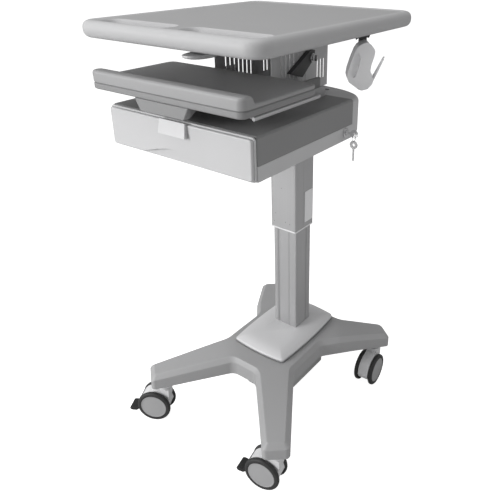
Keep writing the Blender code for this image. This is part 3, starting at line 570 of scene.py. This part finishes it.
# ---------------------------------------------------------------- casters
def build_caster(name):
    swivel = Vector(JOINTS["caster_%s_swivel" % name]["pos_m"])
    wheels = {side: JOINTS["caster_%s_%s_wheel_spin" % (name, side)] for side in ("inner", "outer")}
    centre = (Vector(wheels["inner"]["pos_m"]) + Vector(wheels["outer"]["pos_m"])) / 2.0
    trail = Vector((centre.x - swivel.x, centre.y - swivel.y, 0.0))
    reach = trail.length
    ahead = trail.normalized()
    across = Vector((-ahead.y, ahead.x, 0.0))
    place = Matrix((
        (ahead.x, across.x, 0.0, swivel.x),
        (ahead.y, across.y, 0.0, swivel.y),
        (0.0, 0.0, 1.0, 0.0),
        (0.0, 0.0, 0.0, 1.0),
    ))
    radius, half = centre.z, 0.0065
    offset = (Vector(wheels["outer"]["pos_m"]) - centre).length
    tyre = [(0.0391, -half + 0.0004), (0.0400, -half), (0.0440, -half), (0.0468, -half + 0.0006),
            (0.0486, -half + 0.0018), (radius - 0.0004, -half + 0.0034), (radius, -half + 0.0052),
            (radius, half - 0.0052), (radius - 0.0004, half - 0.0034), (0.0486, half - 0.0018),
            (0.0468, half - 0.0006), (0.0440, half), (0.0400, half), (0.0391, half - 0.0004)]
    for side, sign in (("inner", -1.0), ("outer", 1.0)):
        spin = place @ Matrix.Translation((reach, sign * offset, radius))
        hub = [(0.0056, -half * 0.6), (0.0300, -half * 0.6), (0.0340, -half + 0.0006),
               (0.0380, -half + 0.0006),
               (0.0388, -half + 0.0014), (0.0388, half - 0.0014), (0.0381, half - 0.0004),
               (0.0366, half - 0.0003),
               (0.0356, half - 0.0010), (0.0340, half - 0.0012), (0.0180, half - 0.0006),
               (0.0, half - 0.0003),
               (0.0, 0.0046), (0.0056, 0.0046)]
        hub = [(r, y * sign) for r, y in hub]
        like("caster_%s_%s_tyre" % (name, side), "caster_%s_%s_tyre" % (name, side),
             turned(revolved(tyre, 72), spin))
        shape = revolved(hub, 72)
        like("caster_%s_%s_disc" % (name, side), "caster_%s_%s_hub" % (name, side),
             turned(shape, spin), HUB_FACE)
    build_hood(name, place, reach)


def arc(cx, cz, radius, start, end, steps):
    angles = [math.radians(start + (end - start) * k / steps) for k in range(steps + 1)]
    return [(cx + radius * math.cos(a), cz + radius * math.sin(a)) for a in angles]


def build_hood(name, place, reach):
    node = "caster_%s_hood" % name
    _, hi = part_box(node)
    half, neck_top, wheel = 0.0163, 0.1120, 0.0500
    web = [(-0.0163, neck_top - 0.0060), (-0.0163, 0.0850)]
    web += arc(reach, wheel, 0.0465, 157.0, 176.0, 4)
    web += arc(reach, wheel, 0.0335, 200.0, 262.0, 8)
    web += [(reach + 0.0240, 0.0285), (reach + 0.0395, 0.0320)]
    web += arc(reach, wheel, 0.0468, -6.0, 80.0, 18)
    web += [(0.0170, neck_top - 0.0090), (0.0160, neck_top - 0.0060)]
    bm = turned(prism(web, "y", -half, half), place)
    neck = turned(bar((0, 0, 0.0950), (0, 0, neck_top), 0.0166, 40, 0.0012), place)
    stem = turned(bar((0, 0, neck_top - 0.01), (0, 0, hi.z), 0.0060, 24), place)
    axle = turned(bar((reach, -0.0280, wheel), (reach, 0.0280, wheel), 0.0050, 24), place)
    like("caster_%s_fork" % name, node, bm, CASTER_HOOD, bevel=0.0022, segments=3, angle=40.0,
         adds=(neck, stem, axle))
    if not name.startswith("front"):
        return
    panel = arc(reach, wheel, 0.0490, -22.0, 34.0, 12) + arc(reach, wheel, 0.0440, 30.0, -26.0, 12)
    plate = turned(prism(panel, "y", -0.0148, 0.0148), place)
    solid("caster_%s_brake_panel" % name, plate, MATERIALS["mid_plastic"], "caster_%s_swivel" % name,
          "mid_plastic", bevel=0.0008)
    for side, sign in (("left", -1.0), ("right", 1.0)):
        ear = arc(reach, wheel, 0.0500, -20.0, 14.0, 6) + arc(reach, wheel, 0.0440, 14.0, -26.0, 6)
        y0, y1 = sorted((sign * 0.0128, sign * 0.0160))
        solid("caster_%s_brake_ear_%s" % (name, side), turned(prism(ear, "y", y0, y1), place),
              MATERIALS["black_plastic"], "caster_%s_swivel" % name, "black_plastic", bevel=0.0006)
    build_pedal(name, place, reach)


def build_pedal(name, place, reach):
    node = "caster_%s_brake_pedal" % name
    start = reach + 0.0460
    top = [(start, 0.0318), (start + 0.008, 0.0296), (start + 0.013, 0.0276), (start + 0.018, 0.0282),
           (start + 0.024, 0.0296), (start + 0.031, 0.0292), (start + 0.0352, 0.0268)]
    under = [(start + 0.0355, 0.0235), (start + 0.033, 0.0200), (start + 0.028, 0.0188),
             (start + 0.014, 0.0196),
             (start + 0.006, 0.0222), (start, 0.0262)]
    outline = top + under
    bm = bmesh.new()
    rows = []
    for y, widen in ((-1.0, 0.0), (-0.94, 1.0), (0.94, 1.0), (1.0, 0.0)):
        row = []
        for px, pz in outline:
            t = min(max((px - start - 0.004) / 0.006, 0.0), 1.0)
            half = 0.0118 + 0.0072 * t * t * (3.0 - 2.0 * t)
            mid_x, mid_z = start + 0.018, 0.0245
            inset = 1.0 if widen else 0.90
            row.append(bm.verts.new((mid_x + (px - mid_x) * inset, y * half,
                                     mid_z + (pz - mid_z) * inset)))
        rows.append(row)
    for low, high in zip(rows, rows[1:]):
        for i in range(len(low)):
            j = (i + 1) % len(low)
            bm.faces.new((low[i], low[j], high[j], high[i]))
    bm.faces.new(rows[0][::-1])
    bm.faces.new(rows[-1])
    like("caster_%s_pedal" % name, node, turned(bm, place), bevel=0.0005)


# ---------------------------------------------------------------- column
def grooved(x, y, radius, grooves):
    """A rounded rectangle with notches: grooves are (face, middle, width, depth) along that face."""
    corners = [("front", (-x, -y), (x, -y)), ("right", (x, -y), (x, y)),
               ("back", (x, y), (-x, y)), ("left", (-x, y), (-x, -y))]
    points = []
    for face, start, end in corners:
        a, b = Vector(start), Vector(end)
        way = (b - a).normalized()
        inward = Vector((-way.y, way.x))
        length = (b - a).length
        for k in range(4):
            turn = math.radians(15.0 * (k - 3))
            centre = a + way * radius + inward * radius
            points.append(tuple(centre + (way * math.sin(turn) - inward * math.cos(turn)) * radius))
        for middle, width, depth in sorted(g[1:] for g in grooves if g[0] == face):
            at = length / 2.0 + middle
            lip = min(width * 0.18, 0.0006)
            for step, down in ((-width / 2.0, 0.0), (-width / 2.0 + lip, depth),
                               (width / 2.0 - lip, depth),
                               (width / 2.0, 0.0)):
                points.append(tuple(a + way * (at + step) + inward * down))
        for k in range(4):
            turn = math.radians(15.0 * k)
            centre = b - way * radius + inward * radius
            points.append(tuple(centre + (way * math.sin(turn) - inward * math.cos(turn)) * radius))
    return points


def tube(points, z0, z1, inner_x, inner_y, edge=0.0004):
    inner = [(px * inner_x, py * inner_y) for px, py in points]
    small = [(px * 0.99, py * 0.99) for px, py in points]
    rings = [level(small, z0), level(points, z0 + edge), level(points, z1 - edge), level(small, z1),
             level(inner, z1), level(inner, z0)]
    bm = bmesh.new()
    rows = [[bm.verts.new(point) for point in ring] for ring in rings]
    for low, high in zip(rows, rows[1:] + rows[:1]):
        for i in range(len(low)):
            j = (i + 1) % len(low)
            bm.faces.new((low[i], low[j], high[j], high[i]))
    return bm


def build_trim_ring():
    """The thin pale bead that closes the sleeve's lower end."""
    _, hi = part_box("sleeve_trim_ring")
    low = hi.z - BEAD_HEIGHT
    _, column_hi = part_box("lower_column")
    shape = grooved(hi.x, hi.y, 0.0045, [])
    inner_x = (column_hi.x + 0.0009) / hi.x
    inner_y = (column_hi.y + 0.0009) / hi.y
    like("trim_bead", "sleeve_trim_ring", tube(shape, low, hi.z, inner_x, inner_y, 0.0010))


def build_column():
    lo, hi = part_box("lower_column")
    shape = grooved(hi.x, hi.y, 0.0030, [
        ("front", -0.0205, 0.0095, 0.0030), ("front", -0.0290, 0.0008, 0.0006),
        ("front", 0.0130, 0.0009, 0.0008),
        ("front", 0.0160, 0.0009, 0.0008), ("front", 0.0330, 0.0008, 0.0006),
        ("right", -0.0250, 0.0008, 0.0006), ("right", -0.0160, 0.0008, 0.0006),
        ("right", 0.0130, 0.0070, 0.0022),
        ("right", 0.0260, 0.0008, 0.0006), ("back", 0.0, 0.0090, 0.0028), ("left", 0.0, 0.0090, 0.0028),
        ("left", 0.0200, 0.0008, 0.0006), ("left", -0.0200, 0.0008, 0.0006),
    ])
    like("inner_extrusion", "lower_column", tube(shape, lo.z, hi.z, 0.88, 0.86))
    lo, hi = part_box("lift_sleeve")
    shape = grooved(hi.x, hi.y, 0.0045, [
        ("front", -0.0375, 0.0007, 0.0004), ("front", 0.0360, 0.0007, 0.0004),
        ("right", -0.0365, 0.0007, 0.0004), ("right", -0.0060, 0.0009, 0.0006),
        ("right", 0.0375, 0.0007, 0.0004),
        ("back", 0.0, 0.0008, 0.0004), ("left", 0.0060, 0.0009, 0.0006),
        ("left", -0.0370, 0.0007, 0.0004),
    ])
    like("outer_sleeve", "lift_sleeve", tube(shape, lo.z, hi.z, 0.9315, 0.8421))
    screw_spots = [(-0.0270, 0.0420), (0.0080, 0.0220), (-0.0310, 0.0160), (0.0230, 0.0190),
                   (-0.0050, 0.1240)]
    for k, (x, up) in enumerate(screw_spots):
        bm = revolved([(0.0, 0.0008), (0.0009, 0.0008), (0.0010, 0.0003), (0.0019, 0.0),
                       (0.0021, -0.0006),
                       (0.0, -0.0006)], 24)
        bm = turned(bm, Matrix.Translation((x, lo.y + 0.0003, lo.z + up)) @ Matrix.Rotation(math.pi, 4,
                                                                                            "Z"))
        solid("sleeve_screw_%d" % (k + 1), bm, MATERIALS["dark_plastic"], "lift", "dark_plastic")


# ---------------------------------------------------------------- drawer unit
def build_drawer_front():
    lo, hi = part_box("drawer_front")
    back, front = hi.y, lo.y

    def face(inset, y):
        shape = rect(lo.x + inset, hi.x - inset, lo.z + inset, hi.z - inset, 0.0085 - inset * 0.7, 6)
        return [(x, y, z) for x, z in shape]

    split = back - 0.0046
    bm, _ = loft([face(0.0010, back), face(0.0, back - 0.0008), face(0.0, split + 0.0014),
                  face(0.0008, split + 0.0004),
                  face(0.0034, split + 0.0002), face(0.0036, split), face(0.0034, front + 0.0034),
                  face(0.0040, front + 0.0016), face(0.0054, front + 0.0004), face(0.0074, front)])
    half, tall = 0.150, 0.0265
    steps, reach = 64, 0.1462

    def wave(x):
        return lo.z + tall * math.cos(0.5 * math.pi * x / half) ** 2

    arch = [(-reach + 2 * reach * k / steps,
             wave(-reach + 2 * reach * k / steps)) for k in range(steps + 1)]
    arch += [(reach, lo.z - 0.01), (-reach, lo.z - 0.01)]
    outer = [(x, z + (0.0012 if z > lo.z - 0.005 else 0.0)) for x, z in arch]
    scoop = loft([[(x, front - 0.01, z) for x, z in outer], [(x, front + 0.0002, z) for x, z in outer],
                  [(x, front + 0.0026, z) for x, z in arch],
                  [(x, back - 0.0040, z) for x, z in arch]])[0]
    like("drawer_fascia", "drawer_front", bm, cuts=(scoop,), angle=40.0, bevel=0.0003)


def build_label():
    lo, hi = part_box("label_holder")
    half, back = hi.x, hi.y
    bm, _ = loft([
        [(-half + 0.0006, back, lo.z + 0.0004), (half - 0.0006, back, lo.z + 0.0004),
         (half - 0.0006, back, hi.z),
         (-half + 0.0006, back, hi.z)],
        [(-half, lo.y + 0.0016, lo.z), (half, lo.y + 0.0016, lo.z), (half - 0.0025, back - 0.0034, hi.z),
         (-half + 0.0025, back - 0.0034, hi.z)],
        [(-half, lo.y, lo.z + 0.0004), (half, lo.y, lo.z + 0.0004), (half - 0.0025, back - 0.0046, hi.z),
         (-half + 0.0025, back - 0.0046, hi.z)],
    ])
    like("label_tab", "label_holder", bm, bevel=0.0005, angle=20.0)


def build_rear_cover():
    lo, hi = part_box("rear_cover")
    half_width, depth = hi.x, hi.y - lo.y

    def ring(inset, z):
        points = []
        for k in range(49):
            a = math.pi * k / 48
            c, s = math.cos(a), math.sin(a)
            power = 2.0 / 2.7
            points.append((math.copysign(abs(c) ** power, c) * (half_width - inset),
                           lo.y + s ** power * (depth - inset), z))
        return points

    rings = [ring(0.0100, lo.z), ring(0.0050, lo.z + 0.0022), ring(0.0016, lo.z + 0.0060),
             ring(0.0, lo.z + 0.0115),
             ring(0.0, hi.z - 0.0110), ring(0.0012, hi.z - 0.0064), ring(0.0042, hi.z - 0.0026),
             ring(0.0085, hi.z - 0.0006), ring(0.0125, hi.z)]
    sleeve_lo, sleeve_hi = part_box("lift_sleeve")
    notch = prism([(sleeve_lo.x - 0.001, lo.y - 0.01), (sleeve_hi.x + 0.001, lo.y - 0.01),
                   (sleeve_hi.x + 0.001, sleeve_hi.y + 0.001),
                   (sleeve_lo.x - 0.001, sleeve_hi.y + 0.001)],
                  "z", lo.z - 0.01, hi.z + 0.01)
    slot = prism(rect(0.058, 0.107, 0.0035, 0.0170, 0.004, 4), "z", hi.z - 0.020, hi.z + 0.01)
    like("rear_shell", "rear_cover", loft(rings)[0], cuts=(notch, slot), angle=40.0, bevel=0.0006)
    # A black sheet at the floor of the cable slot: painted shade for the dark inside of the opening.
    shade_sheet = prism(rect(0.0584, 0.1066, 0.0039, 0.0166, 0.0038, 4), "z", hi.z - 0.0199, hi.z - 0.0150)
    solid("cable_slot_liner", shade_sheet, MATERIALS["black_plastic"], "lift", "black_plastic")


# ---------------------------------------------------------------- keyboard tray
def build_tray():
    lo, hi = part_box("tray_upper_shell")
    deck = hi.z - 0.0168

    def plan(inset):
        return rect(lo.x + inset, hi.x - inset, lo.y + inset, hi.y - inset, 0.018 - inset, 8)

    bm, _ = loft([level(plan(0.0006), lo.z), level(plan(0.0), lo.z + 0.0006),
                  level(plan(0.0), deck - 0.0030),
                  level(plan(0.0009), deck - 0.0011), level(plan(0.0028), deck - 0.0001),
                  level(plan(0.0045), deck)])
    lip_back = lo.y + 0.0360

    def rest(inset, back_inset):
        x0, x1, y0, y1 = lo.x + inset, hi.x - inset, lo.y + inset, lip_back - back_inset
        radii = [max(0.018 - inset, 0.004), max(0.018 - inset, 0.004), 0.0060, 0.0060]
        return corner_rounded([(x0, y0), (x1, y0), (x1, y1), (x0, y1)], radii, 8)

    top = hi.z
    lip, _ = loft([level(rest(0.0, -0.0050), lo.z + 0.0015), level(rest(0.0, -0.0050), deck - 0.0004),
                   level(rest(0.0, -0.0014), deck + 0.0016), level(rest(0.0, 0.0006), deck + 0.0060),
                   level(rest(0.0, 0.0020), top - 0.0064), level(rest(0.0010, 0.0040), top - 0.0032),
                   level(rest(0.0032, 0.0072), top - 0.0011), level(rest(0.0064, 0.0120), top)])
    # Deck and lip in the lighter copy of mid plastic, painted light against the worktop's shade.
    like("tray_deck", "tray_upper_shell", bm, TRAY_DECK_PAINTED_LIGHT, adds=(lip,))
    for side in ("left", "right"):
        node = "tray_side_rail_" + side
        lo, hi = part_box(node)
        x, z, radius = (lo.x + hi.x) / 2.0, (lo.z + hi.z) / 2.0, (hi.x - lo.x) / 2.0
        radius *= RAIL_SLIMMER
        like(node + "_bar", node, bar((x, lo.y + RAIL_SHORTER, z + RAIL_RAISE),
                                      (x, hi.y, z + RAIL_RAISE), radius, 36, 0.0012))


def build_lever():
    lo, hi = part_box("height_lever")
    cx, cy = (lo.x + hi.x) / 2.0, hi.y
    half, reach = (hi.x - lo.x) / 2.0, hi.y - lo.y
    rings = []
    for k in range(9):
        t = k / 8.0
        size = math.sqrt(max(1.0 - (1.0 - t) ** 2.2, 0.0)) if k else 0.25
        ring = []
        for i in range(33):
            a = math.pi * (1.0 + i / 32.0)
            c, s = math.cos(a), math.sin(a)
            ring.append((cx + half * size * math.copysign(abs(c) ** 0.75, c), cy + reach * size * s,
                         lo.z + 0.0100 * t))
        rings.append(ring)
    rings.append([(x, y, hi.z - 0.0010) for x, y, _ in rings[-1]])
    like("lever_paddle", "height_lever", loft(rings)[0], bevel=0.0005, angle=50.0)


# ---------------------------------------------------------------- scanner holder
def build_holder():
    """A slim slotted cup with a thin arm that rises on its outer side."""
    place = Matrix.Translation(HOLDER_TOP) @ Matrix.Rotation(math.radians(HOLDER_TURN), 4, "Z")
    outline = [(-0.0129, -0.0094), (-0.0044, -0.0040), (0.0040, -0.0014), (0.0110, -0.0025),
               (0.0150, -0.0085),
               (0.0215, -0.0130), (0.0246, -0.0200), (0.0231, -0.0310), (0.0174, -0.0500),
               (0.0157, -0.0630),
               (0.0205, -0.0720), (0.0232, -0.0850), (0.0212, -0.0930), (0.0117, -0.1035),
               (-0.0015, -0.1070),
               (-0.0080, -0.1055), (-0.0318, -0.0880), (-0.0356, -0.0765), (-0.0337, -0.0630),
               (-0.0271, -0.0406), (-0.0186, -0.0180)]
    body = turned(prism(corner_rounded(outline, 0.006, 3), "y", -0.0220, 0.0260), place)
    stations = [(0.0150, -0.0985, 0.0170, 0.0044), (0.0215, -0.0880, 0.0155, 0.0040),
                (0.0290, -0.0730, 0.0130, 0.0036),
                (0.0370, -0.0560, 0.0110, 0.0032), (0.0430, -0.0430, 0.0095, 0.0029),
                (0.0462, -0.0350, 0.0070, 0.0020)]
    rings = []
    for x, z, deep, thick in stations:
        ring = []
        for k in range(16):
            turn = 2.0 * math.pi * k / 16
            c, s = math.cos(turn), math.sin(turn)
            ring.append((x + thick * math.copysign(abs(c) ** 0.6, c) * 0.90, -0.004 + deep * s,
                         z + thick * math.copysign(abs(c) ** 0.6, c) * 0.43))
        rings.append(ring)
    arm = turned(loft(rings)[0], place)
    gap = corner_rounded([(-0.0190, -0.0260), (-0.0265, -0.0680), (-0.0220, -0.0790), (-0.0165, -0.0760),
                          (-0.0095, -0.0520), (-0.0062, -0.0340), (-0.0115, -0.0220)], 0.003, 3)
    slot = turned(prism(gap, "y", -0.0300, -0.0150), place)
    like("holder_cup", "scanner_holder", body, adds=(arm,), cuts=(slot,), bevel=0.0014, segments=3,
         angle=40.0)


# ---------------------------------------------------------------- all pieces
build_worktop()
build_base()
build_cover_plate()
for caster in ("front_left", "front_right", "rear_right", "rear_left"):
    build_caster(caster)
build_column()
build_trim_ring()
build_drawer_front()
build_label()
build_rear_cover()
build_tray()
build_lever()
build_holder()
WIDTHS = {"tray_lower_shell": 0.0016, "tray_front_housing": 0.0026, "housing_cover": 0.0012,
          "housing_base": 0.0010, "ballast_box": 0.0012, "vent_cage": 0.0003, "worktop_bracket": 0.0008,
          "cage_lock_bracket": 0.0010, "sleeve_plate": 0.0003, "spare_key": 0.0002,
          "drawer_lock_key": 0.0003,
          "drawer_lock_barrel": 0.0003, "drawer_box": 0.0005, 
          "gas_spring_rod": 0.0, "gas_spring_cylinder": 0.0}
FINISHES = {"sleeve_plate": PLAIN_LABEL}
for node in sorted(NODES):
    if node not in DONE:
        refined(node, WIDTHS.get(node, 0.0006), 3 if node == "tray_front_housing" else 2,
                material=FINISHES.get(node))


# ---------------------------------------------------------------- stage, light and camera
def build_stage():
    bm = bmesh.new()
    for x, y in ((-30, -30), (30, -30), (30, 30), (-30, 30)):
        bm.verts.new((x, y, 0.0))
    bm.faces.new(bm.verts[:])
    mesh = bpy.data.meshes.new("floor")
    bm.to_mesh(mesh)
    bm.free()
    floor = bpy.data.objects.new("floor", mesh)
    bpy.context.scene.collection.objects.link(floor)
    paint = bpy.data.materials.new("floor")
    paint.use_nodes = True
    shader = paint.node_tree.nodes["Principled BSDF"]
    shader.inputs["Base Color"].default_value = (0.62, 0.62, 0.62, 1.0)
    shader.inputs["Roughness"].default_value = 0.9
    shader.inputs["Emission Color"].default_value = (1.0, 1.0, 1.0, 1.0)
    path = paint.node_tree.nodes.new("ShaderNodeLightPath")
    glow = paint.node_tree.nodes.new("ShaderNodeMath")
    glow.operation = "MULTIPLY"
    glow.inputs[1].default_value = 0.90
    paint.node_tree.links.new(path.outputs["Is Camera Ray"], glow.inputs[0])
    paint.node_tree.links.new(glow.outputs[0], shader.inputs["Emission Strength"])
    mesh.materials.append(paint)


def build_light():
    world = bpy.data.worlds.new("studio")
    bpy.context.scene.world = world
    world.use_nodes = True
    nodes, links = world.node_tree.nodes, world.node_tree.links
    nodes.clear()
    lit, seen = nodes.new("ShaderNodeBackground"), nodes.new("ShaderNodeBackground")
    lit.inputs["Strength"].default_value = 0.37
    seen.inputs["Strength"].default_value = 1.0
    for node in (lit, seen):
        node.inputs["Color"].default_value = (1.0, 1.0, 1.0, 1.0)
    path, mix, out = (nodes.new("ShaderNodeLightPath"), nodes.new("ShaderNodeMixShader"),
                      nodes.new("ShaderNodeOutputWorld"))
    links.new(path.outputs["Is Camera Ray"], mix.inputs[0])
    links.new(lit.outputs[0], mix.inputs[1])
    links.new(seen.outputs[0], mix.inputs[2])
    links.new(mix.outputs[0], out.inputs["Surface"])

    def area(name, spot, target, size, watts):
        lamp = bpy.data.lights.new(name, "AREA")
        lamp.shape = "SQUARE"
        lamp.size = size
        lamp.energy = watts
        holder = bpy.data.objects.new(name, lamp)
        holder.location = spot
        holder.rotation_euler = (Vector(target) - Vector(spot)).to_track_quat("-Z", "Y").to_euler()
        bpy.context.scene.collection.objects.link(holder)

    area("key", (-1.9, -3.6, 1.75), (0.0, -0.1, 0.6), 1.8, 112.0)
    area("fill_top", (-0.6, -0.8, 3.4), (0.0, -0.1, 0.6), 2.0, 34.0)
    area("fill_right", (2.6, 0.8, 1.5), (0.0, -0.1, 0.6), 1.8, 9.0)
    bpy.context.scene.view_settings.view_transform = "Standard"


def build_camera():
    focal, centre_x, centre_y, picture = 559.0, 292.5, 190.0, 500.0
    lens = bpy.data.cameras.new("camera")
    lens.sensor_width = 36.0
    lens.lens = focal / picture * 36.0
    lens.shift_x = (picture / 2.0 - centre_x) / picture
    lens.shift_y = (centre_y - picture / 2.0) / picture
    lens.clip_end = 100.0
    camera = bpy.data.objects.new("camera", lens)
    camera.location = CAMERA_SPOT
    camera.rotation_euler = (math.pi / 2.0 - CAMERA_PITCH, 0.0, CAMERA_YAW)
    bpy.context.scene.collection.objects.link(camera)
    bpy.context.scene.camera = camera


build_stage()
build_light()
build_camera()
